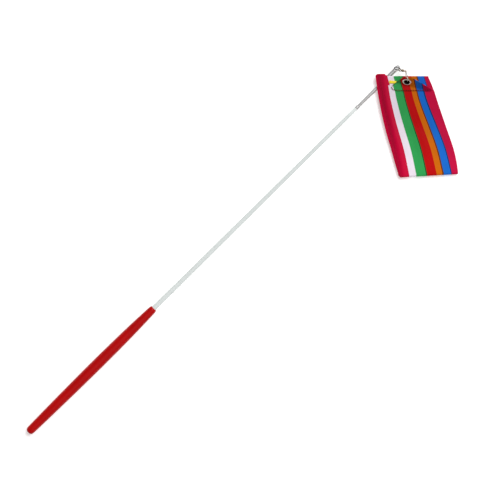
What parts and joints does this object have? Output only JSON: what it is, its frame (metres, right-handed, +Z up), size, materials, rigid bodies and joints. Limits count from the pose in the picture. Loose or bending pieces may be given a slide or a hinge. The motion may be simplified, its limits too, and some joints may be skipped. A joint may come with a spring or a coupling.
{
  "type": "ribbon wand",
  "caption": "Dance ribbon wand with a tapered grip, a slim rod and a striped satin ribbon wound flat and hung from a swivel snap.",
  "frame": {"origin": "on the ground under the middle of the whole object", "axes": "+X along the wand from the butt to the tip, +Y away from the wound ribbon, +Z up"},
  "size_m": [0.5156, 0.127, 0.0189],
  "materials": {
    "grip_plastic": "satin moulded red",
    "rod_fibre": "smooth white glass-fibre rod",
    "nickel": "nickel plated",
    "brass_wire": "polished brass",
    "snap_wire": "bright spring wire",
    "eyelet_metal": "polished",
    "satin": "rainbow striped satin",
    "thread": "sewing thread",
    "rubber_band": "yellow elastic"
  },
  "bodies": {
    "wand": {"grip": "grip_plastic", "rod": "rod_fibre", "tip_collar": "nickel", "tip_pin": "nickel", "tip_ferrule": "nickel"},
    "ring": {"tip_ring": "nickel"},
    "swivel": {"swivel_front_eye": "brass_wire"},
    "barrel": {"swivel_barrel": "brass_wire"},
    "rear_eye": {"swivel_rear_eye": "brass_wire"},
    "snap": {"snap_hook": "snap_wire"},
    "gate": {"snap_gate": "snap_wire"},
    "ribbon": {"eyelet": "eyelet_metal", "eyelet_washer": "eyelet_metal", "ribbon_tab": "satin", "base_seam": "thread", "edge_seam": "thread", "elastic_band": "rubber_band", "ribbon_pack": "satin"}
  },
  "joints": [
    {"name": "ring_swing", "type": "hinge", "parent": "wand", "child": "ring", "pos_m": [0.24023, 0.05167, 0.00197], "axis": [-0.4848, 0.8746, 0], "range_deg": [0, 40]},
    {"name": "eye_slide_round_ring", "type": "hinge", "parent": "ring", "child": "swivel", "pos_m": [0.23896, 0.05096, 0.00471], "axis": [0.7722, 0.4281, 0.4695], "range_deg": [0, 35]},
    {"name": "barrel_spin", "type": "hinge", "parent": "swivel", "child": "barrel", "pos_m": [0.24096, 0.04606, 0.00806], "axis": [0.4287, -0.6861, 0.5878], "continuous": true},
    {"name": "swivel_turn", "type": "hinge", "parent": "swivel", "child": "rear_eye", "pos_m": [0.24229, 0.04393, 0.00988], "axis": [-0.4287, 0.6861, -0.5878], "range_deg": [0, 120]},
    {"name": "snap_swing", "type": "hinge", "parent": "rear_eye", "child": "snap", "pos_m": [0.24229, 0.04393, 0.00988], "axis": [-0.7538, 0.643, 0.1353], "range_deg": [0, 25]},
    {"name": "gate_open", "type": "hinge", "parent": "snap", "child": "gate", "pos_m": [0.24197, 0.04278, 0.01352], "axis": [-0.7538, 0.643, 0.1353], "range_deg": [0, 35], "stiffness_Nm_per_rad": 0.00001, "springref_deg": -17.19},
    {"name": "ribbon_swing", "type": "hinge", "parent": "snap", "child": "ribbon", "pos_m": [0.23787, 0.03735, 0.0165], "axis": [0, 1, 0], "range_deg": [0, 38]}
  ]
}
